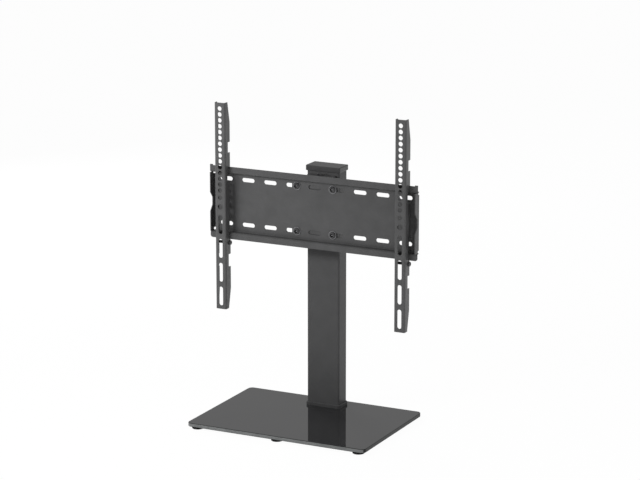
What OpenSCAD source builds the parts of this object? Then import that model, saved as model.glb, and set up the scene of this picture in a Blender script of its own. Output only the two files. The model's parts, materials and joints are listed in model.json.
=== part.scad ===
// Tabletop stand: a glass base on rubber feet, one upright column near its rear edge, and a
// swivelling, height-adjustable head that carries a slotted mounting plate with two hook-on arms.
// Millimetres. X is to the right, Y to the rear and Z up.
// The origin is the centre of the base's outline, on the table.

/* [Base] */
// Width of the glass base
base_w = 395; // [360:1:460]
// Depth of the glass base
base_d = 274; // [240:1:340]
// Thickness of the glass
glass_t = 8; // [6:0.5:12]
// Radius of the glass corners, seen from above
glass_corner_r = 10; // [6:1:25]
// Ground bevel on the glass edges
glass_bevel = 1; // [0.5:0.1:1.5]
// Distance from the column's axis to the rear edge of the glass
column_setback = 37; // [34:1:70]

/* [Feet] */
// Diameter of a rubber foot
foot_d = 24; // [18:1:30]
// Height of a rubber foot
foot_h = 5; // [5:0.5:9]
// Distance from the centre of an end foot to the side edge
foot_inset_x = 18.5; // [16:0.5:30]
// Distance from the centre of a foot to the front or rear edge
foot_inset_y = 14; // [13.5:0.5:17]

/* [Base joint] */
// Thickness of the steel clamp plate under the glass
clamp_plate_t = 2.5; // [2.5:0.1:3]
// How far the clamp plate reaches past the column on each side
clamp_margin = 14; // [6:1:24]
// Thickness of the rubber gaskets above and below the glass
gasket_t = 1; // [0.5:0.1:1.2]
// Thickness of the steel foot plate inside the column
foot_plate_t = 6; // [4:0.5:10]
// Shank diameter of the bolts that come up through the glass
base_bolt_d = 6; // [5:0.5:6]
// Head diameter of those countersunk bolts
base_bolt_head_d = 11; // [10:0.5:11]
// Distance from the inner wall of the column to the centre of a base bolt
base_bolt_edge = 7.5; // [6.5:0.5:9]
// Hole in the glass round each bushing
glass_hole_d = 12; // [11:0.5:14]

/* [Column] */
// Width of the column
column_w = 72; // [64:1:90]
// Depth of the column
column_d = 37; // [33:1:50]
// Height of the column
column_h = 497; // [480:1:620]
// Wall of the column
column_wall = 2.5; // [2:0.25:3.5]
// Outer corner radius of the column
column_corner_r = 4; // [3:0.5:7]
// Height of the foot collar
collar_h = 7; // [5:0.5:15]
// How far the foot collar stands out from the column's sides
collar_out = 2.8; // [2:0.1:6]
// Height of the cap's rim
cap_h = 11; // [8:0.5:16]
// Thickness of the cap's top
cap_top_t = 5; // [2:0.25:6]
// How far the cap stands out from the column's sides
cap_out = 2.2; // [1.8:0.1:6]
// Radius of the cap's upright corners
cap_corner_r = 3; // [2.5:0.25:6]
// Bevel round the cap's top and bottom edges
cap_bevel = 1.5; // [0.5:0.1:2]

/* [Head height] */
// Height of the mounting plate's centre above the table, at the top setting
plate_z = 431.5; // [380:0.5:432]
// How far the head can be lowered
height_travel = 60; // [20:1:80]
// Distance between the two height bolts
height_bolt_gap = 50; // [40:1:60]
// Shank diameter of the height bolts
height_bolt_d = 8; // [6:0.5:10]

/* [Swivel] */
// Distance from the column's front to the swivel axis
pivot_from_column = 16.5; // [16:0.5:24]
// Distance from the swivel axis to the back of the mounting plate
pivot_to_plate = 18.5; // [17.5:0.5:26]
// Swivel to either side, in degrees
swivel_angle = 35; // [15:1:35]
// Thickness of the two head brackets
bracket_t = 3; // [2.5:0.25:3.25]
// Overall height of the head carrier
carrier_h = 134; // [128:1:142]
// Width of the head carrier
carrier_w = 56; // [50:1:60]
// Width of the swivel bracket's ears
ear_w = 25; // [20:1:25]
// Diameter of the swivel pin
pivot_d = 8; // [6:0.5:10]
// Thickness of the nylon washers between the ears
nylon_t = 1; // [0.8:0.1:2]
// Height of the head's centre above the mounting plate's centre
head_rise = 1.5; // [0:0.5:3]

/* [Mounting plate] */
// Width of the rails of the mounting plate
rail_w = 462; // [446:1:520]
// Overall height of the mounting plate
plate_h = 150; // [150:1:180]
// Thickness of the sheet
plate_t = 2; // [1.5:0.25:2.5]
// Height of each rail lip
lip_h = 14; // [12:0.5:18]
// Distance from the panel's front to the lips' front
lip_out = 12.5; // [11:0.5:18]
// Depth of the side flanges
side_flange_d = 19.5; // [18:0.5:26]
// How far the rails reach past the side flanges
rail_past = 2; // [1:0.5:6]
// Distance between slot centres along a row
slot_pitch = 50; // [40:1:52]
// Number of slots in a row
slot_count = 9; // [5:2:9]
// Length of a slot
slot_l = 28; // [28:1:32]
// Width of a slot
slot_w = 8.5; // [8.3:0.1:9]
// Distance between the two rows of slots
row_gap = 93; // [86:1:96]
// Depth of the hollow in the front edge of each side flange
hollow_d = 9.5; // [4:0.5:11]
// Height of that hollow at the edge
hollow_h = 40; // [30:1:60]
// Height of the stop at each end of the upper rail
stop_h = 2; // [1:0.5:4]
// Width of the stop at each end of the upper rail
stop_w = 6; // [3:0.5:8]

/* [Plate fixing] */
// Distance between the plate bolts, side to side
bolt_gap_x = 80; // [76:1:84]
// Shank diameter of the plate bolts
plate_bolt_d = 8; // [6:0.5:8]
// Diameter of the plate bolts' button heads
plate_head_d = 14; // [13:0.5:16]
// Height of the plate bolts' heads
plate_head_h = 4.4; // [4:0.1:5]
// Diameter of the washers under those heads
plate_washer_d = 17; // [16:0.5:20]

/* [Arms] */
// Length of an arm
arm_h = 428; // [428:1:470]
// Width of an arm's face
arm_w = 24; // [22:1:30]
// Depth of an arm's hook flange, on its right side
arm_d = 21; // [20:0.5:24]
// Clearance between an arm's shorter flange, on its left side, and the front of the rail lips
side_gap = 1; // [0.5:0.1:2]
// Thickness of an arm's sheet
arm_t = 2; // [1.5:0.25:2.5]
// Distance from the face of an arm to the front of the rail lips
arm_standoff = 15; // [14:0.5:16]
// Distance from an arm's top to the upper rail's top edge
arm_drop = 133; // [125:1:140]
// Distance from each end of the rails to an arm's hole line
arm_inset = 31; // [26:1:110]
// Depth of the hook flange at an arm's ends and notches
arm_waist = 12.3; // [10:0.1:14]
// Depth of the hook flange between the rails
arm_mid_d = 18; // [18:0.1:20]
// Depth of the hook flange beside the throat under its upper hook
throat_waist = 9.5; // [8:0.1:12]
// Height of the throat, which takes the upper rail's shelf when the arm is lifted to be hung
throat_h = 24; // [22:0.5:40]
// Depth of the shorter flange at an arm's ends and notches
side_waist = 10; // [8:0.1:11.5]
// Length of the taper at each end of an arm
arm_taper = 42; // [20:1:60]
// Diameter of the round mounting holes
hole_d = 9.2; // [8.5:0.1:10]
// Distance between the round mounting holes
hole_pitch = 12; // [11.5:0.1:12]
// Number of round mounting holes in the close row
hole_count = 15; // [8:1:15]
// Diameter of the single hole at an arm's middle
middle_hole_d = 11; // [8:0.5:12]
// Length of a mounting slot
arm_slot_l = 39.5; // [30:0.5:42]
// Width of a mounting slot
arm_slot_w = 8.8; // [8.5:0.1:10]
// Distance between mounting slot centres
arm_slot_pitch = 50; // [46:1:50]
// Distance from an arm's lower end to the centre of its last slot
last_slot = 27; // [25:1:33]
// Distance from an arm's top to the last round hole, below the close row
last_hole = 195; // [191:0.5:202]
// Distance from an arm's top to the upper notch in its flanges
upper_notch = 82; // [60:1:100]
// Height of the upper notch
upper_notch_h = 22; // [10:0.5:26]
// Distance from an arm's lower end to the lower notch in its flanges
lower_notch = 87; // [60:1:95]
// Height of the lower notch
lower_notch_h = 26.5; // [10:0.5:30]

/* [Lock screws] */
// Diameter of a lock screw's head
lock_head_d = 9.4; // [8:0.2:11]
// Length of a lock screw's head
lock_head_l = 4; // [3:0.5:6]
// Shank diameter of a lock screw
lock_d = 6; // [4:0.5:6]
// Distance from the lower rail's edge to a lock screw's axis
lock_below = 7.5; // [6:0.5:12]

/* [Hidden] */
$fn = 64;

// Clearances: flat seats on moving bodies, round running fits, and loose bolt holes
seat = 0.3;
run = 0.08;
slack = 0.4;
thread = 0.05;
// Overshoot of a cutting solid
eps = 1;
// Inner radius of the sheet bends
bend_r = 1.5;
black = [0.16, 0.16, 0.17];
steel = [0.62, 0.63, 0.65];
nylon = [0.85, 0.85, 0.82];
rubber = [0.08, 0.08, 0.08];

// Levels of the base joint
glass_z = foot_h;
glass_top = foot_h + glass_t;
clamp_z = foot_h - gasket_t - clamp_plate_t;
column_z = glass_top + gasket_t;
column_top = column_z + column_h;
column_y = base_d / 2 - column_setback;
column_front = column_y - column_d / 2;
clamp_corner_r = 5;
bore_r = max(column_corner_r - column_wall, 1);
trim_bevel = 0.8;
bolt_x = column_w / 2 - column_wall - base_bolt_edge;
bolt_y = column_d / 2 - column_wall - base_bolt_edge;

// Levels of the head
head_z = plate_z + head_rise;
pivot_y = column_front - pivot_from_column;
plate_back = pivot_y - pivot_to_plate;
panel_front = plate_back - plate_t;
lip_front = panel_front - lip_out;
arm_front = lip_front - arm_standoff;
carrier_back = column_front - seat;
carrier_front = carrier_back - bracket_t;
face_back = plate_back + bracket_t;
nylon_play = 0.1;
nylon_inset = 1;
ear_gap = nylon_t + nylon_play;
swivel_h = carrier_h - 2 * bracket_t - 2 * ear_gap;
face_margin = 12;
face_w = bolt_gap_x + 2 * face_margin;
// Radius of the carrier ears' noses, and how far forward of the pivot their full width reaches.
// The flanks between the two meet the swivel bracket at the end of the swivel.
nose_r = pivot_to_plate - bracket_t - seat;
flank_y = (nose_r - carrier_w / 2 * sin(swivel_angle)) / cos(swivel_angle);
pin_head_d = 14;
pin_head_h = 3.5;
pin_end = 5.5;
clip_t = 1.2;
clip_d = 14;
clip_groove = 1;
clip_mouth = 5.1;
height_head_d = 13;
height_head_h = 4.4;
height_washer_d = 18;
height_washer_t = 1.6;
slot_clear = 0.3;
nut_bar_t = 6;
nut_bar_w = 24;
nut_bar_end = 12;
nut_h = 6.5;
nut_across = 13;
plate_washer_t = 1.2;
// How far a bolt's end shows past its nut
bolt_tail = 3;
// Hexagon sockets, across their flats
base_socket = 4;
height_socket = 5;
plate_socket = 6;
lock_socket = 4;

// Levels of the rails and arms
rail_top = plate_z + plate_h / 2;
rail_bottom = plate_z - plate_h / 2;
shelf_top = plate_h / 2 - lip_h + plate_t;
panel_w = rail_w - 2 * rail_past;
relief_d = 5;
arm_top = rail_top + arm_drop;
arm_x = rail_w / 2 - arm_inset;
side_d = arm_standoff - side_gap;
lock_z = rail_bottom - lock_below;
lock_y = lip_front + plate_t / 2;
// How far a lock screw's end shows past the shorter flange
lock_tail = 1;

// A block rounded in plan, standing on z = 0
module round_block(w, d, h, r) {
    translate([-w / 2 + r, -d / 2, 0]) cube([w - 2 * r, d, h]);
    translate([-w / 2, -d / 2 + r, 0]) cube([w, d - 2 * r, h]);
    for (sx = [-1, 1]) {
        for (sy = [-1, 1]) {
            translate([sx * (w / 2 - r), sy * (d / 2 - r), 0]) cylinder(h = h, r = r);
        }
    }
}

// The same with a bevel b round its top and bottom edges
module bevelled_block(w, d, h, r, b) {
    rotate([90, 0, 90]) {
        translate([0, 0, -w / 2 + r]) linear_extrude(w - 2 * r) bevelled_outline(d, h, b);
    }
    rotate([90, 0, 0]) {
        translate([0, 0, -d / 2 + r]) linear_extrude(d - 2 * r) bevelled_outline(w, h, b);
    }
    for (sx = [-1, 1]) {
        for (sy = [-1, 1]) {
            translate([sx * (w / 2 - r), sy * (d / 2 - r), 0]) {
                rotate_extrude() {
                    polygon([[0, 0], [r - b, 0], [r, b], [r, h - b], [r - b, h], [0, h]]);
                }
            }
        }
    }
}

module bevelled_outline(w, h, b) {
    polygon([[-w / 2 + b, 0], [w / 2 - b, 0], [w / 2, b], [w / 2, h - b],
             [w / 2 - b, h], [-w / 2 + b, h], [-w / 2, h - b], [-w / 2, b]]);
}

// Places its children at the four base bolts
module at_base_bolts() {
    for (sx = [-1, 1]) {
        for (sy = [-1, 1]) {
            translate([sx * bolt_x, column_y + sy * bolt_y, 0]) children();
        }
    }
}

// A quarter of a bent sheet, centred on the bend's axis, in the quadrant of the signs
module bend(sx, sy, t) {
    intersection() {
        difference() {
            circle(bend_r + t);
            circle(bend_r);
        }
        translate([sx > 0 ? 0 : -bend_r - t, sy > 0 ? 0 : -bend_r - t]) square(bend_r + t);
    }
}

// An angle section with its outer corner at the origin and legs along +X and +Y
module angle_section(leg_x, leg_y, t) {
    o = bend_r + t;
    translate([o, 0]) square([leg_x - o, t]);
    translate([0, o]) square([t, leg_y - o]);
    translate([o, o]) bend(-1, -1, t);
}

// A cylinder along Y from its centre to the rear
module bar_y(d, l) {
    rotate([-90, 0, 0]) cylinder(h = l, d = d);
}

// A slot through a sheet, cut along Y, long in X
module slot_along_x(l, w, depth) {
    for (s = [-1, 1]) {
        translate([s * (l - w) / 2, 0, 0]) bar_y(w, depth);
    }
    translate([-(l - w) / 2, 0, -w / 2]) cube([l - w, depth, w]);
}

// The same, long in Z
module slot_along_z(l, w, depth) {
    for (s = [-1, 1]) {
        translate([0, 0, s * (l - w) / 2]) bar_y(w, depth);
    }
    translate([-w / 2, 0, -(l - w) / 2]) cube([w, depth, l - w]);
}

// A hexagonal nut on z = 0, across its flats, with a tapped hole
module hex_nut(across, h, hole) {
    difference() {
        cylinder(h = h, d = across / cos(30), $fn = 6);
        translate([0, 0, -eps]) cylinder(h = h + 2 * eps, d = hole);
    }
}

// A button head on z = 0 that rises along +Z, with a hexagon socket
module button_head(d, h, socket) {
    difference() {
        rotate_extrude() {
            polygon([[0, 0], [d / 2, 0], [d / 2, h * 0.3], [d / 2 - h * 0.2, h * 0.65],
                     [d / 2 - h * 0.55, h * 0.9], [d / 2 - h * 0.85, h], [0, h]]);
        }
        translate([0, 0, h * 0.4]) cylinder(h = h, d = socket / cos(30), $fn = 6);
    }
}

// Ground and bevelled plate of tempered glass, drilled for the bushings
module base_glass() {
    color([0.12, 0.12, 0.13]) difference() {
        translate([0, 0, glass_z]) bevelled_block(base_w, base_d, glass_t, glass_corner_r, glass_bevel);
        at_base_bolts() translate([0, 0, glass_z - eps]) cylinder(h = glass_t + 2 * eps, d = glass_hole_d);
    }
}

// Moulded rubber foot with a hollow underside
module foot(column_index, row_sign) {
    x = column_index * (base_w / 2 - foot_inset_x);
    y = row_sign * (base_d / 2 - foot_inset_y);
    rim = 3;
    dish = 0.8;
    bevel = 1;
    draft = 0.5;
    r = foot_d / 2;
    color(rubber) translate([x, y, 0]) rotate_extrude() {
        polygon([[0, dish], [r - rim - bevel, dish], [r - rim, 0], [r - bevel, 0],
                 [r, bevel], [r - draft, foot_h], [0, foot_h]]);
    }
}

// Steel plate under the glass, countersunk for the four bolts
module clamp_plate() {
    sink = (base_bolt_head_d - base_bolt_d) / 2;
    color(black) difference() {
        translate([0, column_y, clamp_z]) {
            round_block(column_w + 2 * clamp_margin, column_d + 2 * clamp_margin,
                        clamp_plate_t, clamp_corner_r);
        }
        at_base_bolts() translate([0, 0, clamp_z - eps]) {
            cylinder(h = clamp_plate_t + 2 * eps, d = base_bolt_d + slack);
            cylinder(h = eps + sink, d1 = base_bolt_head_d + slack + 2 * eps, d2 = base_bolt_d + slack);
        }
    }
}

// Rubber sheet between the clamp plate and the glass
module gasket_lower() {
    color(rubber) difference() {
        translate([0, column_y, clamp_z + clamp_plate_t]) {
            round_block(column_w + 2 * clamp_margin, column_d + 2 * clamp_margin, gasket_t, clamp_corner_r);
        }
        at_base_bolts() cylinder(h = glass_top, d = base_bolt_d + slack);
    }
}

// Nylon sleeves that keep the bolts off the glass
module glass_bushings() {
    color(nylon) at_base_bolts() translate([0, 0, glass_z]) difference() {
        cylinder(h = glass_t, d = glass_hole_d - slack);
        translate([0, 0, -eps]) cylinder(h = glass_t + 2 * eps, d = base_bolt_d + slack);
    }
}

// Rubber sheet between the glass and the column
module gasket_upper() {
    color(rubber) difference() {
        translate([0, column_y, glass_top]) round_block(column_w, column_d, gasket_t, column_corner_r);
        at_base_bolts() translate([0, 0, glass_z]) cylinder(h = column_top, d = base_bolt_d + slack);
    }
}

// Four countersunk bolts from below, into the foot plate
module base_bolts() {
    length = column_z + foot_plate_t - clamp_z;
    sink = (base_bolt_head_d - base_bolt_d) / 2;
    socket_depth = 1.6;
    color(steel) at_base_bolts() translate([0, 0, clamp_z]) difference() {
        union() {
            cylinder(h = length, d = base_bolt_d);
            cylinder(h = sink, d1 = base_bolt_head_d, d2 = base_bolt_d);
        }
        translate([0, 0, -eps]) cylinder(h = eps + socket_depth, d = base_socket / cos(30), $fn = 6);
    }
}

// Hollow upright with the height slot in its front wall, behind the mounting plate
module column() {
    slot_top = head_z + height_bolt_gap / 2 + height_bolt_d / 2 + slot_clear;
    slot_low = head_z - height_travel - height_bolt_gap / 2 - height_bolt_d / 2 - slot_clear;
    color(black) difference() {
        translate([0, column_y, column_z]) round_block(column_w, column_d, column_h, column_corner_r);
        translate([0, column_y, column_z - eps]) {
            round_block(column_w - 2 * column_wall, column_d - 2 * column_wall,
                        column_h + 2 * eps, bore_r);
        }
        translate([0, column_front - eps, (slot_top + slot_low) / 2]) {
            slot_along_z(slot_top - slot_low, height_bolt_d + 2 * slot_clear, column_wall + 2 * eps);
        }
    }
}

// Steel plate welded inside the foot of the column, tapped for the base bolts
module column_foot() {
    color(steel) difference() {
        translate([0, column_y, column_z]) {
            round_block(column_w - 2 * column_wall, column_d - 2 * column_wall,
                        foot_plate_t, bore_r);
        }
        at_base_bolts() translate([0, 0, glass_z]) cylinder(h = column_top, d = base_bolt_d + 2 * thread);
    }
}

// Moulded trim round the foot of the column
module column_collar() {
    w = column_w + 2 * collar_out;
    d = column_d + 2 * collar_out;
    color(black) difference() {
        translate([0, column_y, glass_top]) {
            bevelled_block(w, d, collar_h, column_corner_r + collar_out, trim_bevel);
        }
        translate([0, column_y, glass_top - eps]) {
            round_block(column_w + slack, column_d + slack, collar_h + 2 * eps, column_corner_r);
        }
    }
}

// Moulded cap: a rim round the outside of the column and a plug in its bore
module column_cap() {
    w = column_w + 2 * cap_out;
    d = column_d + 2 * cap_out;
    bore_w = column_w - 2 * column_wall - slack;
    bore_d = column_d - 2 * column_wall - slack;
    plug_wall = 1.6;
    plug_h = 10;
    plug_r = 1.5;
    plug_bore_r = 1;
    color(black) {
        difference() {
            translate([0, column_y, column_top + cap_top_t - cap_h]) {
                bevelled_block(w, d, cap_h, cap_corner_r, cap_bevel);
            }
            translate([0, column_y, column_top + cap_top_t - cap_h - eps]) {
                round_block(column_w + slack, column_d + slack, cap_h - cap_top_t + eps, column_corner_r);
            }
        }
        difference() {
            translate([0, column_y, column_top - plug_h]) round_block(bore_w, bore_d, plug_h, plug_r);
            translate([0, column_y, column_top - plug_h - eps]) {
                round_block(bore_w - 2 * plug_wall, bore_d - 2 * plug_wall, plug_h + eps, plug_bore_r);
            }
        }
    }
}

// A U-shaped bracket seen from the side: its web along Z and its ears along +Y, outer corner at the origin
module u_section(h, ear_l, t) {
    angle_section(ear_l, h / 2 + eps, t);
    translate([0, h]) mirror([0, 1]) angle_section(ear_l, h / 2 + eps, t);
}

// Lays a section drawn in depth and height down along X, w wide and centred
module along_x(w) {
    rotate([90, 0, 90]) translate([0, 0, -w / 2]) linear_extrude(w) children();
}

// Bracket on the column's front: a tall web with a round-nosed ear at each end for the swivel pin
module head_carrier() {
    flank_start = pivot_y - flank_y;
    color(black) difference() {
        union() {
            translate([0, carrier_back, head_z - carrier_h / 2]) mirror([0, 1, 0]) {
                along_x(carrier_w) u_section(carrier_h, carrier_back - flank_start, bracket_t);
            }
            for (z = [-carrier_h / 2, carrier_h / 2 - bracket_t]) {
                translate([0, pivot_y, head_z + z]) {
                    cylinder(h = bracket_t, r = nose_r);
                    linear_extrude(bracket_t) ear_flanks();
                }
            }
        }
        translate([0, pivot_y, head_z - carrier_h]) cylinder(h = 2 * carrier_h, d = pivot_d + 2 * thread);
        at_height_bolts() translate([0, carrier_front - eps, 0]) {
            bar_y(height_bolt_d + slack, bracket_t + 2 * eps);
        }
    }
}

// Outline of a carrier ear round the pivot, between its full width and its nose
module ear_flanks() {
    nose_x = nose_r * sin(swivel_angle);
    nose_y = nose_r * cos(swivel_angle);
    polygon([[-carrier_w / 2, -flank_y], [-nose_x, -nose_y], [nose_x, -nose_y], [carrier_w / 2, -flank_y]]);
}

// Places its children at the two height bolts
module at_height_bolts() {
    for (s = [-1, 1]) {
        translate([0, 0, head_z + s * height_bolt_gap / 2]) children();
    }
}

// Two button-head bolts through the carrier and the column's slot
module height_bolts() {
    seat_y = carrier_front - height_washer_t;
    reach = column_front + column_wall + seat + nut_bar_t + bolt_tail - seat_y;
    color(steel) at_height_bolts() translate([0, seat_y, 0]) {
        bar_y(height_bolt_d, reach);
        rotate([90, 0, 0]) button_head(height_head_d, height_head_h, height_socket);
    }
}

// Washers under the height bolts
module height_washers() {
    color(steel) at_height_bolts() translate([0, carrier_front - height_washer_t, 0]) difference() {
        bar_y(height_washer_d, height_washer_t);
        translate([0, -eps, 0]) bar_y(height_bolt_d + slack, height_washer_t + 2 * eps);
    }
}

// Tapped bar inside the column that the height bolts pull against its front wall
module nut_bar() {
    y = column_front + column_wall + seat;
    length = height_bolt_gap + 2 * nut_bar_end;
    color(steel) difference() {
        translate([-nut_bar_w / 2, y, head_z - length / 2]) cube([nut_bar_w, nut_bar_t, length]);
        at_height_bolts() translate([0, y - eps, 0]) {
            bar_y(height_bolt_d + 2 * thread, nut_bar_t + 2 * eps);
        }
    }
}

// Nylon bearing washer between a carrier ear and a swivel ear
module nylon_washer(z) {
    color(nylon) translate([0, pivot_y, z]) difference() {
        cylinder(h = nylon_t, d = ear_w - 2 * nylon_inset);
        translate([0, 0, -eps]) cylinder(h = nylon_t + 2 * eps, d = pivot_d + slack);
    }
}

// Bracket behind the mounting plate: a web with four clearance holes and two round-ended ears
module swivel_bracket() {
    web_h = swivel_h - 2 * bracket_t - 2 * bend_r;
    color(black) difference() {
        union() {
            translate([0, plate_back, head_z - swivel_h / 2]) {
                along_x(ear_w) u_section(swivel_h, pivot_to_plate, bracket_t);
            }
            translate([-face_w / 2, plate_back, head_z - web_h / 2]) cube([face_w, bracket_t, web_h]);
            for (z = [-swivel_h / 2, swivel_h / 2 - bracket_t]) {
                translate([0, pivot_y, head_z + z]) cylinder(h = bracket_t, d = ear_w);
            }
        }
        translate([0, pivot_y, head_z - swivel_h]) cylinder(h = 2 * swivel_h, d = pivot_d + 2 * run);
        at_plate_bolts() translate([0, plate_back - eps, 0]) {
            bar_y(plate_bolt_d + slack, bracket_t + 2 * eps);
        }
    }
}

// Headed pin up through all four ears, grooved above the top one
module swivel_pin() {
    r = pivot_d / 2;
    low = -carrier_h / 2;
    top = carrier_h / 2;
    bevel = 1;
    color(steel) translate([0, pivot_y, head_z]) rotate_extrude() {
        polygon([[0, low - pin_head_h], [pin_head_d / 2 - bevel, low - pin_head_h],
                 [pin_head_d / 2, low - pin_head_h + bevel], [pin_head_d / 2, low], [r, low],
                 [r, top], [r - clip_groove, top], [r - clip_groove, top + clip_t],
                 [r, top + clip_t], [r, top + pin_end - bevel], [r - bevel, top + pin_end],
                 [0, top + pin_end]]);
    }
}

// Spring clip in the pin's groove, open to the rear
module swivel_clip() {
    bore = pivot_d - 2 * clip_groove + 2 * thread;
    color(black) translate([0, pivot_y, head_z + carrier_h / 2]) difference() {
        cylinder(h = clip_t, d = clip_d);
        translate([0, 0, -eps]) cylinder(h = clip_t + 2 * eps, d = bore);
        translate([-clip_mouth / 2, 0, -eps]) cube([clip_mouth, clip_d, clip_t + 2 * eps]);
    }
}

// Places its children at the four plate bolts
module at_plate_bolts() {
    for (sx = [-1, 1]) {
        for (sz = [-1, 1]) {
            translate([sx * bolt_gap_x / 2, 0, head_z + sz * row_gap / 2]) children();
        }
    }
}

// Four nuts welded to the back of the swivel bracket
module plate_nuts() {
    color(steel) at_plate_bolts() translate([0, face_back, 0]) {
        rotate([-90, 0, 0]) hex_nut(nut_across, nut_h, plate_bolt_d + 2 * thread);
    }
}

// One rail of the mounting plate in depth and height: bend from the panel, shelf and lip
module rail_section() {
    o = bend_r + plate_t;
    front = plate_t + lip_out;
    translate([o, shelf_top - o]) bend(-1, 1, plate_t);
    translate([o, shelf_top - plate_t]) square([front - 2 * o, plate_t]);
    translate([front - o, shelf_top + bend_r]) bend(1, -1, plate_t);
    translate([front - plate_t, shelf_top + bend_r]) {
        square([plate_t, plate_h / 2 - shelf_top - bend_r]);
    }
}

// Sheet-steel plate: a slotted panel, two hook rails and two side flanges, in one piece
module mounting_plate() {
    o = bend_r + plate_t;
    color(black) translate([0, plate_back, plate_z]) difference() {
        union() {
            translate([-panel_w / 2 + o, -plate_t, -shelf_top + o]) {
                cube([panel_w - 2 * o, plate_t, 2 * shelf_top - 2 * o]);
            }
            for (side = [0, 1]) {
                mirror([0, 0, side]) mirror([0, 1, 0]) along_x(rail_w) rail_section();
            }
            for (side = [0, 1]) {
                mirror([side, 0, 0]) side_flange();
                mirror([side, 0, 0]) translate([rail_w / 2 - stop_w, -plate_t - lip_out, plate_h / 2]) {
                    cube([stop_w, plate_t, stop_h]);
                }
            }
        }
        plate_slots();
        corner_reliefs();
        bend_corner_cuts();
        for (side = [0, 1]) {
            mirror([side, 0, 0]) lip_corner_cut();
            mirror([side, 0, 0]) shelf_end_cut();
        }
    }
}

// Side flange bent forward from the panel, between the two shelves
module side_flange() {
    z = shelf_top - plate_t;
    hollow_slope = 12;
    difference() {
        translate([panel_w / 2, 0, -z]) linear_extrude(2 * z) rotate(180) {
            angle_section(bend_r + plate_t + eps, side_flange_d, plate_t);
        }
        translate([panel_w / 2 - plate_t - eps, 0, 0]) rotate([0, 90, 0]) {
            linear_extrude(plate_t + 2 * eps) {
                polygon([[hollow_h / 2, -side_flange_d - eps], [hollow_h / 2, -side_flange_d],
                         [hollow_h / 2 - hollow_slope, -side_flange_d + hollow_d],
                         [-hollow_h / 2 + hollow_slope, -side_flange_d + hollow_d],
                         [-hollow_h / 2, -side_flange_d], [-hollow_h / 2, -side_flange_d - eps]]);
            }
        }
    }
}

// The two rows of slots for the plate bolts
module plate_slots() {
    for (row = [-1, 1]) {
        for (i = [-(slot_count - 1) / 2 : (slot_count - 1) / 2]) {
            translate([i * slot_pitch, -plate_t - eps, head_rise + row * row_gap / 2]) {
                slot_along_x(slot_l, slot_w, plate_t + 2 * eps);
            }
        }
    }
}

// Round reliefs where a shelf, a flange and the panel meet
module corner_reliefs() {
    for (sx = [-1, 1]) {
        for (sz = [-1, 1]) {
            z = sz * (shelf_top - plate_t - relief_d / 2);
            translate([sx * (panel_w / 2 - plate_t - relief_d / 2), -plate_t - eps, z]) {
                bar_y(relief_d, plate_t + 2 * eps);
            }
            translate([sx * panel_w / 2 - plate_t - eps, -plate_t - relief_d / 2, z]) {
                rotate([0, 90, 0]) cylinder(h = 2 * plate_t + 2 * eps, d = relief_d);
            }
        }
    }
}

// Opens the rear corners, so that a shelf's bend and a side flange's bend don't run into each other
module bend_corner_cuts() {
    o = bend_r + plate_t;
    height = plate_t + relief_d;
    for (sx = [-1, 1]) {
        for (sz = [-1, 1]) {
            z = sz * (shelf_top - height / 2 + eps / 2);
            translate([sx * (panel_w / 2 - o / 2 + eps / 2), -o / 2 + eps / 2, z]) {
                cube([o + eps, o + eps, height + eps], center = true);
            }
        }
    }
}

// Rounds the lower outer corner of the lower lip
module lip_corner_cut() {
    r = 5;
    x = rail_w / 2 - r;
    z = -plate_h / 2 + r;
    difference() {
        translate([x, -plate_t - lip_out - eps, z - r - eps]) cube([r + eps, plate_t + eps * 1.5, r + eps]);
        translate([x, -plate_t - lip_out - 2 * eps, z]) bar_y(2 * r, plate_t + 4 * eps);
    }
}

// Ends the shelves at the side flange, so that only the lips run past it
module shelf_end_cut() {
    translate([panel_w / 2, -lip_out, -plate_h / 2 - eps]) {
        cube([rail_past + eps, lip_out + eps, plate_h + 2 * eps]);
    }
}

// Washers under the plate bolts
module plate_washers() {
    color(steel) at_plate_bolts() translate([0, panel_front - plate_washer_t, 0]) difference() {
        bar_y(plate_washer_d, plate_washer_t);
        translate([0, -eps, 0]) bar_y(plate_bolt_d + slack, plate_washer_t + 2 * eps);
    }
}

// Four button-head bolts through the slots into the welded nuts
module plate_bolts() {
    seat_y = panel_front - plate_washer_t;
    reach = face_back + nut_h - seat_y;
    color(black) at_plate_bolts() translate([0, seat_y, 0]) {
        bar_y(plate_bolt_d, reach);
        rotate([90, 0, 0]) button_head(plate_head_d, plate_head_h, plate_socket);
    }
}

// What is cut from the edge of an arm's flange: a taper at each end and two notches between.
// Drawn in depth and in distance below the arm's top.
module flange_edge(depth, waist) {
    deep = depth + eps;
    polygon([[waist, -eps], [deep, -eps], [deep, arm_taper], [depth, arm_taper], [waist, 0]]);
    polygon([[waist, arm_h], [depth, arm_h - arm_taper], [deep, arm_h - arm_taper],
             [deep, arm_h + eps], [waist, arm_h + eps]]);
    translate([waist, upper_notch]) square([deep - waist, upper_notch_h]);
    translate([waist, arm_h - lower_notch - lower_notch_h]) square([deep - waist, lower_notch_h]);
}

// What is cut from the hook flange for the rails, drawn the same way
module hook_cuts() {
    deep = arm_d + eps;
    lip_y = arm_standoff;
    lower_lip = arm_drop + plate_h - lip_h;
    shelf_room = 4;
    swing_room = 6;
    end_room = 1;
    throat = arm_drop + lip_h - shelf_room;
    lower_gap = lower_lip - swing_room;
    // Slot that hangs on the upper lip
    translate([lip_y - seat, arm_drop - seat]) square([plate_t + 2 * seat, lip_h + shelf_room]);
    // Throat below it, open to the rear
    translate([throat_waist, throat]) square([deep - throat_waist, throat_h]);
    // Shallower stretch between the rails
    translate([arm_mid_d, throat]) square([deep - arm_mid_d, lower_gap - throat]);
    // Gap that takes the lower shelf and lip when the arm's lower end swings in
    translate([lip_y - seat, lower_gap]) square([deep - lip_y + seat, lip_h + swing_room + end_room]);
}

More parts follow.
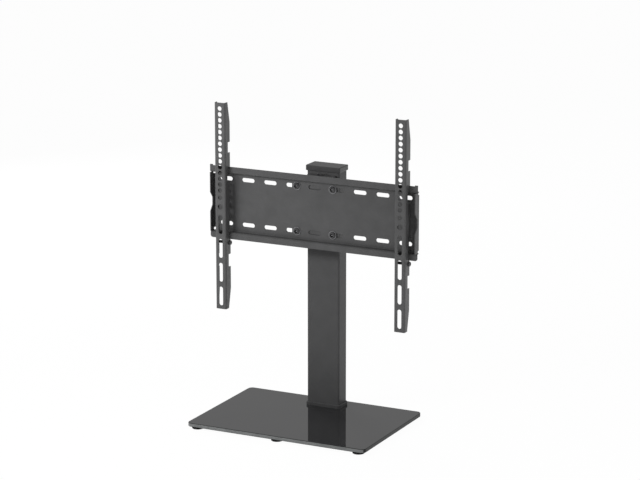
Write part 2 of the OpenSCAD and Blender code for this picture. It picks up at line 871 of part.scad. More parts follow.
// Stands a flange's cuts up along X from the plane x, deep enough to go through the sheet
module through_flange(x) {
    translate([x - 2 * eps, arm_front, arm_top]) {
        mirror([0, 0, 1]) rotate([90, 0, 90]) linear_extrude(arm_t + 4 * eps) children();
    }
}

// Channel-section arm: a drilled and slotted face, a hook flange on its right side and a shorter
// flange on its left that ends in front of the rail lips
module arm(x) {
    color(black) difference() {
        translate([x, arm_front, arm_top - arm_h]) linear_extrude(arm_h) {
            translate([arm_w / 2, 0]) mirror([1, 0]) angle_section(arm_w / 2 + eps, arm_d, arm_t);
            translate([-arm_w / 2, 0]) angle_section(arm_w / 2 + eps, side_d, arm_t);
        }
        through_flange(x + arm_w / 2 - arm_t) {
            flange_edge(arm_d, arm_waist);
            hook_cuts();
        }
        through_flange(x - arm_w / 2) flange_edge(side_d, side_waist);
        translate([x, arm_front - eps, arm_top]) {
            for (i = [1 : hole_count]) {
                translate([0, 0, -i * hole_pitch]) bar_y(hole_d, arm_t + 2 * eps);
            }
            translate([0, 0, -last_hole]) bar_y(hole_d, arm_t + 2 * eps);
            translate([0, 0, -arm_h / 2]) bar_y(middle_hole_d, arm_t + 2 * eps);
            for (i = [0 : 3]) {
                translate([0, 0, -arm_h + last_slot + i * arm_slot_pitch]) {
                    slot_along_z(arm_slot_l, arm_slot_w, arm_t + 2 * eps);
                }
            }
        }
        translate([x - arm_w / 2 - eps, lock_y, lock_z]) rotate([0, 90, 0]) {
            cylinder(h = arm_w + 2 * eps, d = lock_d + 2 * thread);
        }
    }
}

// Screw through an arm's hook flange and across the arm, just under the lower rail, that keeps the
// arm from being lifted off
module lock_screw(x) {
    socket_depth = 2;
    color(black) translate([x + arm_w / 2, lock_y, lock_z]) rotate([0, 90, 0]) {
        translate([0, 0, -arm_w - lock_tail]) cylinder(h = arm_w + lock_tail, d = lock_d);
        difference() {
            cylinder(h = lock_head_l, d = lock_head_d);
            translate([0, 0, lock_head_l - socket_depth]) {
                cylinder(h = socket_depth + eps, d = lock_socket / cos(30), $fn = 6);
            }
        }
    }
}

base_glass();
foot(-1, -1);  // foot_front_left
foot(0, -1);  // foot_front_centre
foot(1, -1);  // foot_front_right
foot(-1, 1);  // foot_rear_left
foot(1, 1);  // foot_rear_right
clamp_plate();
gasket_lower();
glass_bushings();
gasket_upper();
base_bolts();
column();
column_foot();
column_collar();
column_cap();
head_carrier();
height_bolts();
height_washers();
nut_bar();
nylon_washer(head_z + swivel_h / 2);  // nylon_washer_upper
nylon_washer(head_z - swivel_h / 2 - nylon_t);  // nylon_washer_lower
swivel_pin();
swivel_clip();
swivel_bracket();
plate_nuts();
mounting_plate();
plate_washers();
plate_bolts();
arm(-arm_x);  // arm_left
arm(arm_x);  // arm_right
lock_screw(-arm_x);  // lock_screw_left
lock_screw(arm_x);  // lock_screw_right
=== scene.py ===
import bmesh
import bpy
import json
import math
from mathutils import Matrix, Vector

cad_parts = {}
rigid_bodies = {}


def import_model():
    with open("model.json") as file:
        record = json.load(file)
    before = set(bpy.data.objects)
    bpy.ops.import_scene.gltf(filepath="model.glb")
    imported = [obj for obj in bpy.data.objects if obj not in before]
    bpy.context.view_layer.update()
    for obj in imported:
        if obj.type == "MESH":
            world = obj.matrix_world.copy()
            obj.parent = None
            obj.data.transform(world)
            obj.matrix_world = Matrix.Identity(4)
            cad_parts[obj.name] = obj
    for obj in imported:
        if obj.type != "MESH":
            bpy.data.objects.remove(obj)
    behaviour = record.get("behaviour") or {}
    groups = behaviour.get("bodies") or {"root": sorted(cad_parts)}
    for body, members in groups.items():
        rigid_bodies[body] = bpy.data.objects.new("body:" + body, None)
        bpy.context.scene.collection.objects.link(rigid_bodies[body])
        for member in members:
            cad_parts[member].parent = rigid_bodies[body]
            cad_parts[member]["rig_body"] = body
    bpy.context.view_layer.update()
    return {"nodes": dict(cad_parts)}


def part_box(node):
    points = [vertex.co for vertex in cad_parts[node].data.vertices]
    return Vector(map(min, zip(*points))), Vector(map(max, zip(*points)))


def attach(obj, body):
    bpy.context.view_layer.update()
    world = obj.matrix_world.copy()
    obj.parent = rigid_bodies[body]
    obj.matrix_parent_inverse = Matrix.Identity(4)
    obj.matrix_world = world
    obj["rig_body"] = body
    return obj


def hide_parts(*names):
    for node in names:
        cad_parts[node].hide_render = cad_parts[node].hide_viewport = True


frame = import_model()

# Camera. A long lens that looks slightly down on the stand from its front right, from a little over five
# metres away, so that the column and the arms stay nearly parallel.
camera_data = bpy.data.cameras.new("camera")
camera_data.sensor_fit = "HORIZONTAL"
camera_data.sensor_width = 36.0
camera_data.lens = 147.06
camera_data.clip_end = 80.0
camera = bpy.data.objects.new("camera", camera_data)
bpy.context.scene.collection.objects.link(camera)
camera.location = (2.2757, -4.5096, 1.6167)
aim = Vector((-0.0158, 0.1000, 0.3582))
camera.rotation_euler = (aim - camera.location).to_track_quat("-Z", "Y").to_euler()
bpy.context.scene.camera = camera


# Rubber feet. Five moulded discs with a tapered wall, a soft lower rim and a shallow cup underneath,
# with a small dimple in the middle of the cup. Each is stuck to the underside of the glass.
def new_finish(name, colour, roughness, metallic=0.0):
    material = bpy.data.materials.new(name)
    material.use_nodes = True
    material.diffuse_color = (*colour, 1.0)
    shader = material.node_tree.nodes["Principled BSDF"]
    shader.inputs["Base Color"].default_value = (*colour, 1.0)
    shader.inputs["Roughness"].default_value = roughness
    shader.inputs["Metallic"].default_value = metallic
    return material


def surface_noise(material, scale, detail=2.0, stretch=(1.0, 1.0, 1.0)):
    nodes = material.node_tree.nodes
    links = material.node_tree.links
    place = nodes.new("ShaderNodeTexCoord")
    mapping = nodes.new("ShaderNodeMapping")
    noise = nodes.new("ShaderNodeTexNoise")
    mapping.inputs["Scale"].default_value = stretch
    noise.inputs["Scale"].default_value = scale
    noise.inputs["Detail"].default_value = detail
    links.new(place.outputs["Object"], mapping.inputs["Vector"])
    links.new(mapping.outputs["Vector"], noise.inputs["Vector"])
    return noise.outputs["Fac"]


def vary_colour(material, factor, low, high):
    nodes = material.node_tree.nodes
    ramp = nodes.new("ShaderNodeValToRGB")
    ramp.color_ramp.elements[0].position = 0.3
    ramp.color_ramp.elements[0].color = (*low, 1.0)
    ramp.color_ramp.elements[1].position = 0.7
    ramp.color_ramp.elements[1].color = (*high, 1.0)
    material.node_tree.links.new(factor, ramp.inputs["Fac"])
    material.node_tree.links.new(ramp.outputs["Color"], nodes["Principled BSDF"].inputs["Base Color"])


def vary_roughness(material, factor, low, high):
    nodes = material.node_tree.nodes
    spread = nodes.new("ShaderNodeMapRange")
    spread.inputs["From Min"].default_value = 0.3
    spread.inputs["From Max"].default_value = 0.7
    spread.inputs["To Min"].default_value = low
    spread.inputs["To Max"].default_value = high
    material.node_tree.links.new(factor, spread.inputs["Value"])
    material.node_tree.links.new(spread.outputs["Result"], nodes["Principled BSDF"].inputs["Roughness"])


def raise_grain(material, factor, strength, depth):
    nodes = material.node_tree.nodes
    bump = nodes.new("ShaderNodeBump")
    bump.inputs["Strength"].default_value = strength
    bump.inputs["Distance"].default_value = depth
    material.node_tree.links.new(factor, bump.inputs["Height"])
    material.node_tree.links.new(bump.outputs["Normal"], nodes["Principled BSDF"].inputs["Normal"])


def deselect():
    bpy.ops.object.select_all(action="DESELECT")


def turn_up(rings, sides=48):
    """A turned solid on the Z axis, drawn up ring by ring from its radius and height pairs."""
    deselect()
    bpy.ops.mesh.primitive_circle_add(vertices=sides, radius=rings[0][0], fill_type="NGON",
                                      location=(0.0, 0.0, rings[0][1]))
    bpy.ops.object.mode_set(mode="EDIT")
    for (r_low, z_low), (r_high, z_high) in zip(rings, rings[1:]):
        bpy.ops.mesh.extrude_region_move(TRANSFORM_OT_translate={"value": (0.0, 0.0, z_high - z_low)})
        grow = r_high / r_low
        bpy.ops.transform.resize(value=(grow, grow, 1.0), center_override=(0.0, 0.0, z_high))
    bpy.ops.mesh.select_all(action="SELECT")
    bpy.ops.mesh.normals_make_consistent(inside=False)
    bpy.ops.object.mode_set(mode="OBJECT")
    bpy.ops.object.transform_apply(location=True, rotation=True, scale=True)
    return bpy.context.active_object


def place(piece, spots, turn=(0.0, 0.0, 0.0)):
    """Copies of a piece, each turned and set at its spot, joined into one mesh. The piece is used up."""
    copies = []
    for spot in spots:
        copy = bpy.data.objects.new(piece.name, piece.data.copy())
        bpy.context.scene.collection.objects.link(copy)
        copy.rotation_euler = turn
        copy.location = spot
        copies.append(copy)
    bpy.data.objects.remove(piece)
    deselect()
    for copy in copies:
        copy.select_set(True)
    bpy.context.view_layer.objects.active = copies[0]
    if len(copies) > 1:
        bpy.ops.object.join()
    bpy.ops.object.transform_apply(location=True, rotation=True, scale=True)
    return bpy.context.active_object


def smooth(piece, angle):
    """Smooth shading that stops at sharp edges and keeps the large flat faces flat."""
    deselect()
    piece.select_set(True)
    bpy.context.view_layer.objects.active = piece
    bpy.ops.object.shade_smooth_by_angle(angle=math.radians(angle))
    flatten = piece.modifiers.new("flatten", "WEIGHTED_NORMAL")
    flatten.keep_sharp = True
    bpy.ops.object.modifier_apply(modifier=flatten.name)


def hand_over(piece, name, node, material, crease=32.0):
    """Names a finished piece, gives it its finish and lets it stand for its CAD node, on that node's body."""
    body = frame["nodes"][node]["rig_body"]
    piece.name = name
    piece.data.name = name
    if not piece.data.materials:
        piece.data.materials.append(material)
    smooth(piece, crease)
    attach(piece, body)
    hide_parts(node)
    return piece


foot_rubber = new_finish("foot_rubber", (0.011, 0.011, 0.012), 0.78)
foot_rubber.node_tree.nodes["Principled BSDF"].inputs["Specular IOR Level"].default_value = 0.15
vary_colour(foot_rubber, surface_noise(foot_rubber, 160.0), (0.008, 0.008, 0.009), (0.015, 0.015, 0.016))
raise_grain(foot_rubber, surface_noise(foot_rubber, 2600.0, 3.0), 0.35, 0.0002)

for node in ("foot_front_left", "foot_front_centre", "foot_front_right", "foot_rear_left", "foot_rear_right"):
    low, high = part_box(node)
    radius = (high.x - low.x) / 2
    tall = high.z - low.z
    foot = turn_up([
        (0.0012, 0.0014), (0.0026, 0.0013), (0.0032, 0.0008), (radius - 0.0042, 0.0008),
        (radius - 0.0034, 0.0001), (radius - 0.0028, 0.0), (radius - 0.0012, 0.0), (radius - 0.0004, 0.0003),
        (radius, 0.0010), (radius - 0.0001, 0.0018), (radius - 0.0003, tall - 0.0006),
        (radius - 0.0007, tall),
    ])
    foot = place(foot, [((low.x + high.x) / 2, (low.y + high.y) / 2, 0.0)])
    hand_over(foot, node + "_rubber", node, foot_rubber)


# Glass base. One plate of tempered glass, painted black underneath, with rounded corners and bevelled edges.
# The front edge has a matt grind and is painted lighter, a painted glow of light carried through the glass;
# the others are a dark polish. Four holes take the bushed bolts.
def add_block(low, high):
    """A block between two corners, left selected and in edit mode."""
    deselect()
    bpy.ops.mesh.primitive_cube_add(size=1.0, location=(low + high) / 2)
    bpy.context.active_object.scale = high - low
    bpy.ops.object.transform_apply(location=True, rotation=True, scale=True)
    bpy.ops.object.mode_set(mode="EDIT")
    return bpy.context.active_object


def pick_edges(piece, wanted):
    """Selects the edges whose two ends pass the test."""
    bpy.ops.mesh.select_mode(type="EDGE")
    bpy.ops.mesh.select_all(action="DESELECT")
    bpy.ops.object.mode_set(mode="OBJECT")
    points = piece.data.vertices
    for edge in piece.data.edges:
        edge.select = wanted(points[edge.vertices[0]].co, points[edge.vertices[1]].co)
    bpy.ops.object.mode_set(mode="EDIT")


def round_picked(width, steps):
    bpy.ops.mesh.bevel(offset=width, offset_type="OFFSET", segments=steps, profile=0.5, affect="EDGES",
                       clamp_overlap=False)


def cut_away(piece, cutter):
    """Cuts one closed mesh out of another and throws the cutter away."""
    deselect()
    piece.select_set(True)
    bpy.context.view_layer.objects.active = piece
    cut = piece.modifiers.new("cut", "BOOLEAN")
    cut.operation = "DIFFERENCE"
    cut.solver = "EXACT"
    cut.object = cutter
    bpy.ops.object.modifier_apply(modifier=cut.name)
    bpy.data.objects.remove(cutter)


def rounded_block(low, high, corner, steps, edge=0.0, edge_steps=2, edge_at=("top", "bottom")):
    """A block with rounded upright corners and, where asked, rounded edges round its top and bottom."""
    piece = add_block(low, high)
    near = 1e-5
    pick_edges(piece, lambda a, b: abs(a.z - b.z) > near)
    round_picked(corner, steps)
    if edge:
        levels = [{"top": high.z, "bottom": low.z}[side] for side in edge_at]
        pick_edges(piece, lambda a, b: any(abs(a.z - z) < near and abs(b.z - z) < near for z in levels))
        round_picked(edge, edge_steps)
    bpy.ops.mesh.select_all(action="SELECT")
    bpy.ops.mesh.normals_make_consistent(inside=False)
    bpy.ops.object.mode_set(mode="OBJECT")
    return piece


glass_face = new_finish("black_glass_face", (0.021, 0.021, 0.022), 0.03)
glass_face.node_tree.nodes["Principled BSDF"].inputs["IOR"].default_value = 1.68
vary_colour(glass_face, surface_noise(glass_face, 9.0), (0.020, 0.020, 0.021), (0.023, 0.023, 0.024))
vary_roughness(glass_face, surface_noise(glass_face, 14.0, 4.0), 0.015, 0.04)
# The front edge's light grey is painted light: the glow that light carried through the glass gives it.
glass_front_edge_painted_light = new_finish("ground_glass_edge_painted_light", (0.150, 0.155, 0.155), 0.34)
vary_colour(glass_front_edge_painted_light, surface_noise(glass_front_edge_painted_light, 60.0), (0.130, 0.136, 0.136), (0.170, 0.176, 0.176))
raise_grain(glass_front_edge_painted_light, surface_noise(glass_front_edge_painted_light, 900.0, 2.0, (1.0, 1.0, 0.12)), 0.12, 0.0002)
glass_rim = new_finish("polished_glass_edge", (0.020, 0.021, 0.021), 0.16)
glass_rim.node_tree.nodes["Principled BSDF"].inputs["Specular IOR Level"].default_value = 0.12
vary_colour(glass_rim, surface_noise(glass_rim, 60.0), (0.016, 0.017, 0.017), (0.024, 0.025, 0.025))
glass_paint = new_finish("glass_back_paint", (0.012, 0.012, 0.013), 0.45)
raise_grain(glass_paint, surface_noise(glass_paint, 420.0, 3.0), 0.10, 0.0003)

low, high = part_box("base_glass")
glass = rounded_block(low, high, corner=0.010, steps=12, edge=0.001, edge_steps=3)
bolt_low, bolt_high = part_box("glass_bushings")
hole_radius = 0.006
bolt_reach = 0.0058
bolt_spots = [Vector((x, y, (low.z + high.z) / 2))
              for x in (bolt_low.x + bolt_reach, bolt_high.x - bolt_reach)
              for y in (bolt_low.y + bolt_reach, bolt_high.y - bolt_reach)]
for spot in bolt_spots:
    deselect()
    bpy.ops.mesh.primitive_cylinder_add(vertices=48, radius=hole_radius, depth=0.02, location=spot)
    cut_away(glass, bpy.context.active_object)
glass = hand_over(glass, "glass_plate", "base_glass", glass_face, 20.0)
for finish in (glass_front_edge_painted_light, glass_rim, glass_paint):
    glass.data.materials.append(finish)
# Bottom faces get the back paint, front edge faces the painted-light grey, the other edges the dark polish.
for face in glass.data.polygons:
    if face.normal.z < -0.9:
        face.material_index = 3
    elif abs(face.normal.z) < 0.1 and face.normal.y < -0.7:
        face.material_index = 1
    elif abs(face.normal.z) < 0.9:
        face.material_index = 2


# Base joint. A steel clamp plate, two rubber gaskets and four nylon bushings hold the glass between steel
# faces. Four countersunk bolts go up through them into the foot plate that is welded in the column.
def dressed_copy(node, edge, steps=2, sharp=28.0, clear=0.0012):
    """A copy of a sheet-metal CAD node, its triangles merged and its outer cut edges softened as by paint.

    An edge that ends in an inner corner stays sharp, so that no softened strip runs past the corner.
    """
    piece = bpy.data.objects.new(node + "_dressed", frame["nodes"][node].data.copy())
    piece.data.materials.clear()
    bpy.context.scene.collection.objects.link(piece)
    deselect()
    piece.select_set(True)
    bpy.context.view_layer.objects.active = piece
    bpy.ops.object.mode_set(mode="EDIT")
    bpy.ops.mesh.select_mode(type="EDGE")
    bpy.ops.mesh.select_all(action="SELECT")
    bpy.ops.mesh.remove_doubles(threshold=0.000005)
    bpy.ops.mesh.dissolve_limited(angle_limit=math.radians(0.4))
    bpy.ops.mesh.customdata_custom_splitnormals_clear()
    bpy.ops.mesh.select_all(action="DESELECT")
    sheet = bmesh.from_edit_mesh(piece.data)
    fold = math.radians(sharp)
    inner = [end.co for line in sheet.edges if line.calc_face_angle_signed(0.0) < -fold for end in line.verts]
    for line in sheet.edges:
        if line.calc_face_angle_signed(0.0) > fold:
            line.select_set(all((end.co - corner).length > clear for end in line.verts for corner in inner))
    bmesh.update_edit_mesh(piece.data)
    bpy.ops.mesh.bevel(offset=edge, offset_type="OFFSET", segments=steps, profile=0.5, affect="EDGES",
                       clamp_overlap=False, loop_slide=False)
    bpy.ops.object.mode_set(mode="OBJECT")
    return piece


def powder_coat(name, colour, roughness, grain=0.16, gloss=0.45, drift=0.10):
    """Baked powder paint: a fine pebbled skin with a slight change of depth and gloss over the sheet."""
    material = new_finish(name, colour, roughness)
    material.node_tree.nodes["Principled BSDF"].inputs["Specular IOR Level"].default_value = gloss
    light = tuple(c * (1.0 + drift) for c in colour)
    dark = tuple(c * (1.0 - drift) for c in colour)
    vary_colour(material, surface_noise(material, 38.0, 5.0), dark, light)
    vary_roughness(material, surface_noise(material, 70.0, 3.0), roughness - drift / 3, roughness + drift / 3)
    raise_grain(material, surface_noise(material, 1500.0, 3.0), grain, 0.0003)
    return material


zinc = new_finish("zinc_plate", (0.56, 0.57, 0.59), 0.34, 1.0)
vary_colour(zinc, surface_noise(zinc, 220.0, 3.0), (0.48, 0.49, 0.52), (0.64, 0.64, 0.64))
vary_roughness(zinc, surface_noise(zinc, 600.0, 2.0), 0.26, 0.42)
gasket_rubber = new_finish("gasket_rubber", (0.015, 0.015, 0.015), 0.8)
raise_grain(gasket_rubber, surface_noise(gasket_rubber, 1400.0, 2.0), 0.3, 0.0002)
white_nylon = new_finish("white_nylon", (0.72, 0.71, 0.67), 0.42)
vary_colour(white_nylon, surface_noise(white_nylon, 240.0), (0.66, 0.65, 0.61), (0.76, 0.75, 0.71))
sheet_black = powder_coat("powder_coat_sheet", (0.062, 0.062, 0.063), 0.46)

hand_over(dressed_copy("clamp_plate", 0.0003), "clamp_plate_painted", "clamp_plate", sheet_black)
for node in ("gasket_lower", "gasket_upper"):
    frame["nodes"][node].material_slots[0].material = gasket_rubber
for node in ("base_bolts", "column_foot"):
    frame["nodes"][node].material_slots[0].material = zinc
frame["nodes"]["glass_bushings"].material_slots[0].material = white_nylon

# Column. A rectangular steel tube with rounded corners, painted smoother than the sheets.
# A long slot behind the head takes the two bolts that set its height.
tube_black = powder_coat("powder_coat_tube", (0.075, 0.075, 0.076), 0.26, grain=0.05, gloss=0.08, drift=0.04)
low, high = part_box("column")
wall = 0.0025
past = 0.01  # how far a cutter runs past the face that it cuts
column = rounded_block(low, high, corner=0.004, steps=8)
bore = rounded_block(low + Vector((wall, wall, -past)), high + Vector((-wall, -wall, past)),
                     corner=0.0015, steps=4)
cut_away(column, bore)
slot_radius = 0.0043
slot_low, slot_high = 0.3437, 0.4623
slot = add_block(Vector((-slot_radius, low.y - past, slot_low)),
                 Vector((slot_radius, low.y + past, slot_high)))
pick_edges(slot, lambda a, b: abs(a.y - b.y) > 1e-5)
round_picked(slot_radius - 0.00001, 8)
bpy.ops.object.mode_set(mode="OBJECT")
cut_away(column, slot)
hand_over(column, "column_tube", "column", tube_black, 25.0)

# Column trim. A moulded collar hides the joint with the glass, and a moulded cap closes the tube's top.
# Both have softly rounded edges and a fine spark-eroded surface.
trim_plastic = new_finish("trim_plastic", (0.058, 0.058, 0.059), 0.36)
trim_plastic.node_tree.nodes["Principled BSDF"].inputs["Specular IOR Level"].default_value = 0.35
vary_colour(trim_plastic, surface_noise(trim_plastic, 90.0, 3.0),
            (0.054, 0.054, 0.055), (0.062, 0.062, 0.063))
raise_grain(trim_plastic, surface_noise(trim_plastic, 1900.0, 2.0), 0.07, 0.0002)
tube_low, tube_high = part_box("column")
play = 0.0002
low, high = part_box("column_collar")
collar = rounded_block(low, high, corner=0.0068, steps=8, edge=0.0012, edge_steps=4, edge_at=("top",))
hole = rounded_block(Vector((tube_low.x - play, tube_low.y - play, low.z - past)),
                     Vector((tube_high.x + play, tube_high.y + play, high.z + past)), corner=0.004, steps=8)
cut_away(collar, hole)
hand_over(collar, "foot_collar", "column_collar", trim_plastic, 25.0)

low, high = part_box("column_cap")
cap_tall = 0.011
rim_z = high.z - cap_tall
cap = rounded_block(Vector((low.x, low.y, rim_z)), high, corner=0.0030, steps=6, edge=0.0015, edge_steps=4)
hollow = rounded_block(Vector((tube_low.x - play, tube_low.y - play, rim_z - past)),
                       Vector((tube_high.x + play, tube_high.y + play, tube_high.z)), corner=0.004, steps=8)
cut_away(cap, hollow)
plug_gap = wall + play
plug_root = 0.001
plug = rounded_block(Vector((tube_low.x + plug_gap, tube_low.y + plug_gap, low.z)),
                     Vector((tube_high.x - plug_gap, tube_high.y - plug_gap, tube_high.z + plug_root)),
                     corner=0.0015, steps=4)
plug_wall = 0.0016
core = rounded_block(
    Vector((tube_low.x + plug_gap + plug_wall, tube_low.y + plug_gap + plug_wall, low.z - past)),
    Vector((tube_high.x - plug_gap - plug_wall, tube_high.y - plug_gap - plug_wall, tube_high.z)),
    corner=0.001, steps=4)
cut_away(plug, core)
deselect()
plug.select_set(True)
cap.select_set(True)
bpy.context.view_layer.objects.active = cap
bpy.ops.object.join()
hand_over(cap, "top_cap", "column_cap", trim_plastic, 25.0)


# Head carrier. A folded steel bracket with a round-nosed ear at each end, clamped to the column's front.
# Two button-head bolts go through it and the column's slot into a tapped bar inside.
def button_bolt(shank, length, head, tall, socket):
    """A button-head bolt on the Z axis: its shank below zero, its domed head above, with a hexagon socket."""
    dome = [(shank - 0.0006, -length), (shank, 0.0006 - length), (shank, 0.0),
            (head - 0.0002, 0.0), (head, 0.0003)]
    rings = 7
    rim_angle, crown_angle = 15.0, 72.0
    rim_sine, crown_sine = 0.259, 0.951
    rim_share = 0.24
    for i in range(rings + 1):
        turn = math.radians(rim_angle + (crown_angle - rim_angle) * i / rings)
        rise = (1.0 - rim_share) * (math.sin(turn) - rim_sine) / (crown_sine - rim_sine)
        dome.append((head * math.cos(turn) / math.cos(math.radians(rim_angle)), tall * (rim_share + rise)))
    bolt = turn_up(dome)
    deselect()
    bpy.ops.mesh.primitive_cylinder_add(vertices=6, radius=socket / math.sqrt(3.0), depth=tall * 1.2,
                                        location=(0.0, 0.0, tall))
    cut_away(bolt, bpy.context.active_object)
    for finish in (black_zinc, socket_highlight_steel, socket_painted_shade):
        bolt.data.materials.append(finish)
    bpy.ops.object.mode_set(mode="EDIT")
    bpy.ops.mesh.select_mode(type="FACE")
    bpy.ops.mesh.select_all(action="DESELECT")
    bpy.ops.object.mode_set(mode="OBJECT")
    for face in bolt.data.polygons:
        face.select = abs(face.center.z - 0.4 * tall) < 1e-5 and face.center.xy.length < socket / 3
    bpy.ops.object.mode_set(mode="EDIT")
    bpy.ops.mesh.inset(thickness=socket * 0.27, depth=0.0)
    bpy.ops.mesh.inset(thickness=socket * 0.10, depth=-0.0005)
    bpy.ops.object.mode_set(mode="OBJECT")
    # Centre of the socket floor: bright steel as a painted highlight; socket walls and floor ring: painted
    # shade.
    for face in bolt.data.polygons:
        out = face.center.xy.length
        if out < socket * 0.23 and 0.1 * tall < face.center.z < 0.4 * tall + 1e-5:
            face.material_index = 1
        elif out < socket * 0.51 and 0.3 * tall < face.center.z < 0.9 * tall:
            face.material_index = 2
    return bolt


# Near-black socket finish: painted shade for the hollow of the hexagon socket.
socket_painted_shade = new_finish("socket_painted_shade", (0.004, 0.004, 0.004), 0.60)
socket_painted_shade.node_tree.nodes["Principled BSDF"].inputs["Specular IOR Level"].default_value = 0.05
raise_grain(socket_painted_shade, surface_noise(socket_painted_shade, 1200.0, 2.0), 0.10, 0.0002)
# Bright steel for the socket's centre: a painted highlight where the socket floor catches light.
socket_highlight_steel = new_finish("socket_painted_highlight", (0.42, 0.42, 0.43), 0.40, 1.0)
vary_roughness(socket_highlight_steel, surface_noise(socket_highlight_steel, 900.0, 2.0), 0.32, 0.48)
black_zinc = new_finish("black_zinc", (0.050, 0.050, 0.053), 0.28)
vary_colour(black_zinc, surface_noise(black_zinc, 500.0, 2.0), (0.042, 0.042, 0.045), (0.060, 0.059, 0.060))
vary_roughness(black_zinc, surface_noise(black_zinc, 900.0, 2.0), 0.24, 0.38)

hand_over(dressed_copy("head_carrier", 0.0004), "carrier_bracket", "head_carrier", sheet_black)
low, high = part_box("height_bolts")
shank_radius = 0.004
dome_tall = 0.0044
dome_radius = 0.0065
bolt = button_bolt(shank_radius, high.y - low.y - dome_tall, dome_radius, dome_tall, 0.005)
spots = [(0.0, low.y + dome_tall, z) for z in (low.z + dome_radius, high.z - dome_radius)]
bolt = place(bolt, spots, (math.pi / 2, 0.0, 0.0))
hand_over(bolt, "height_bolt_pair", "height_bolts", black_zinc)
for node in ("height_washers", "nut_bar"):
    frame["nodes"][node].material_slots[0].material = zinc

# Swivel. A headed pin with a spring clip joins the carrier's ears to those of the swivel bracket.
# Nylon washers run between them, and four weld nuts sit on the back of the bracket.
oiled_steel = new_finish("oiled_steel", (0.17, 0.17, 0.175), 0.38, 1.0)
vary_colour(oiled_steel, surface_noise(oiled_steel, 300.0, 2.0), (0.14, 0.14, 0.145), (0.20, 0.20, 0.205))
low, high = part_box("swivel_pin")
pin_radius = 0.004
pin = turn_up([
    (0.0030, low.z), (0.0058, low.z), (0.0066, low.z + 0.0003), (0.0070, low.z + 0.0010),
    (0.0070, low.z + 0.0032), (0.0068, low.z + 0.0035), (pin_radius, low.z + 0.0035),
    (pin_radius, high.z - 0.0055), (0.0030, high.z - 0.0055), (0.0030, high.z - 0.0043),
    (pin_radius, high.z - 0.0043), (pin_radius, high.z - 0.0009), (0.0037, high.z - 0.0003),
    (0.0030, high.z), (0.0010, high.z),
], 40)
pin = place(pin, [((low.x + high.x) / 2, (low.y + high.y) / 2, 0.0)])
hand_over(pin, "pivot_pin", "swivel_pin", oiled_steel)
hand_over(dressed_copy("swivel_clip", 0.00015), "pin_clip", "swivel_clip", black_zinc)
for node in ("nylon_washer_upper", "nylon_washer_lower"):
    frame["nodes"][node].material_slots[0].material = white_nylon
hand_over(dressed_copy("swivel_bracket", 0.0004), "swivel_bracket_painted", "swivel_bracket", sheet_black)
hand_over(dressed_copy("plate_nuts", 0.0004), "weld_nuts", "plate_nuts", zinc)

# Mounting plate. One steel pressing: a slotted panel with a hook rail folded along its top and bottom
# and a flange folded forward at each side. It is painted after folding, so the paint rounds every cut edge.
plate_black = powder_coat("powder_coat_plate", (0.064, 0.064, 0.065), 0.44)
hand_over(dressed_copy("mounting_plate", 0.0003), "rail_plate", "mounting_plate", plate_black)
low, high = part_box("plate_bolts")
shank_radius = 0.004
dome_tall = 0.0044
dome_radius = 0.007
bolt = button_bolt(shank_radius, high.y - low.y - dome_tall, dome_radius, dome_tall, 0.006)
spots = [(x, low.y + dome_tall, z)
         for x in (low.x + dome_radius, high.x - dome_radius)
         for z in (low.z + dome_radius, high.z - dome_radius)]
bolt = place(bolt, spots, (math.pi / 2, 0.0, 0.0))
hand_over(bolt, "plate_bolt_set", "plate_bolts", black_zinc)
dull_zinc = new_finish("dull_zinc", (0.28, 0.28, 0.29), 0.42, 1.0)
vary_colour(dull_zinc, surface_noise(dull_zinc, 400.0, 2.0), (0.24, 0.24, 0.25), (0.32, 0.32, 0.33))
hand_over(dressed_copy("plate_washers", 0.0003), "plate_washer_set", "plate_washers", dull_zinc)

# Hook-on arms. Two drilled and slotted steel channels that hang on the upper rail by a notch in their flange.
# A screw across each arm sits just under the lower rail and keeps the arm from being lifted off.
# The arms' paint is a shade lighter than the plate's as painted light, for the light they catch clear of the
# plate's shaded tray.
arm_coat_painted_lighter = powder_coat("powder_coat_arm_painted_lighter", (0.072, 0.072, 0.073), 0.42)
for side in ("left", "right"):
    hand_over(dressed_copy("arm_" + side, 0.0004), "hook_arm_" + side, "arm_" + side, arm_coat_painted_lighter)
    node = "lock_screw_" + side
    low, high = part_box(node)
    head_long = 0.004
    head_socket = 0.004
    length = high.x - low.x - head_long
    screw = turn_up([
        (0.0024, -length), (0.0030, 0.0006 - length), (0.0030, 0.0), (0.0043, 0.0), (0.0047, 0.0003),
        (0.0047, head_long - 0.0012), (0.0044, head_long - 0.0004), (0.0037, head_long),
    ])
    deselect()
    bpy.ops.mesh.primitive_cylinder_add(vertices=6, radius=head_socket / math.sqrt(3.0), depth=head_long,
                                        location=(0.0, 0.0, head_long))
    cut_away(screw, bpy.context.active_object)
    screw = place(screw, [(high.x - head_long, (low.y + high.y) / 2, (low.z + high.z) / 2)],
                  (0.0, math.pi / 2, 0.0))
    hand_over(screw, node + "_black", node, black_zinc)

# Studio. A pale floor shows white and keeps the stand's soft shadow, in even grey light from all round.
# A soft light stands close at its upper front left, a larger one at its rear left, and a faint upright strip
# on its right.
bpy.context.scene.view_settings.view_transform = "Standard"
world = bpy.data.worlds.new("studio")
bpy.context.scene.world = world
world.use_nodes = True
world.node_tree.nodes["Background"].inputs["Color"].default_value = (0.43, 0.43, 0.43, 1.0)
world.node_tree.nodes["Background"].inputs["Strength"].default_value = 1.0

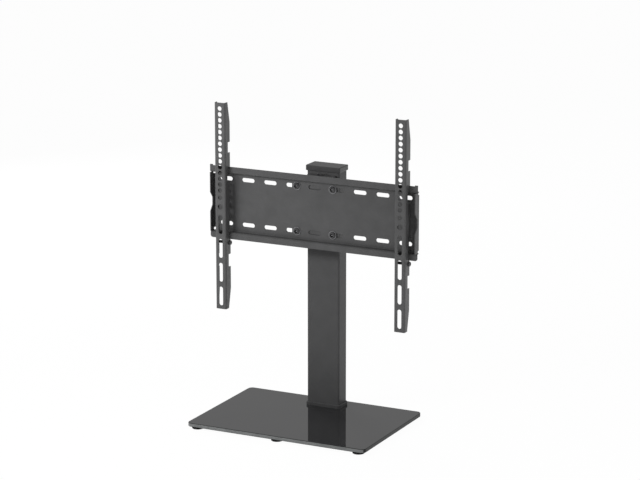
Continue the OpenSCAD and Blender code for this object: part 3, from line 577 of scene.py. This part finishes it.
deselect()
bpy.ops.mesh.primitive_plane_add(size=60.0, location=(0.0, 0.0, 0.0))
floor = bpy.context.active_object
floor.name = "floor"
pale = bpy.data.materials.new("pale_floor")
pale.use_nodes = True
nodes = pale.node_tree.nodes
links = pale.node_tree.links
nodes.clear()
output = nodes.new("ShaderNodeOutputMaterial")
paint = nodes.new("ShaderNodeBsdfDiffuse")
paint.inputs["Color"].default_value = (0.85, 0.85, 0.85, 1.0)
white = nodes.new("ShaderNodeEmission")
white.inputs["Color"].default_value = (1.0, 1.0, 1.0, 1.0)
white.inputs["Strength"].default_value = 1.0
seen = nodes.new("ShaderNodeLightPath")
camera_or_gloss = nodes.new("ShaderNodeMath")
camera_or_gloss.operation = "MAXIMUM"
any_seen = nodes.new("ShaderNodeMath")
any_seen.operation = "MAXIMUM"
share = nodes.new("ShaderNodeMath")
share.operation = "MULTIPLY"
white_share = 0.97  # the rest of what is seen is the lit floor, which keeps the shadow
share.inputs[1].default_value = white_share
mix = nodes.new("ShaderNodeMixShader")
links.new(seen.outputs["Is Camera Ray"], camera_or_gloss.inputs[0])
links.new(seen.outputs["Is Glossy Ray"], camera_or_gloss.inputs[1])
links.new(camera_or_gloss.outputs["Value"], any_seen.inputs[0])
links.new(seen.outputs["Is Transmission Ray"], any_seen.inputs[1])
links.new(any_seen.outputs["Value"], share.inputs[0])
links.new(share.outputs["Value"], mix.inputs["Fac"])
links.new(paint.outputs["BSDF"], mix.inputs[1])
links.new(white.outputs["Emission"], mix.inputs[2])
links.new(mix.outputs["Shader"], output.inputs["Surface"])
floor.data.materials.append(pale)


def soft_light(name, spot, target, wide, tall, power):
    """A soft lamp that lights the stand but is never mirrored as a white patch in the glass."""
    lamp_data = bpy.data.lights.new(name, "AREA")
    lamp_data.shape = "RECTANGLE"
    lamp_data.size = wide
    lamp_data.size_y = tall
    lamp_data.energy = power
    lamp = bpy.data.objects.new(name, lamp_data)
    bpy.context.scene.collection.objects.link(lamp)
    lamp.location = spot
    lamp.rotation_euler = (Vector(target) - Vector(spot)).to_track_quat("-Z", "Y").to_euler()
    lamp.visible_camera = False
    lamp.visible_glossy = False


soft_light("key_light", (-0.50, -0.70, 0.79), (0.0, 0.0, 0.4), 0.42, 0.20, 7.1)
soft_light("rear_light", (-1.9, 1.6, 1.05), (0.0, 0.1, 0.4), 1.0, 0.8, 44.0)
soft_light("side_light", (0.92, -0.08, 0.62), (0.0, 0.1, 0.4), 0.14, 1.15, 1.9)
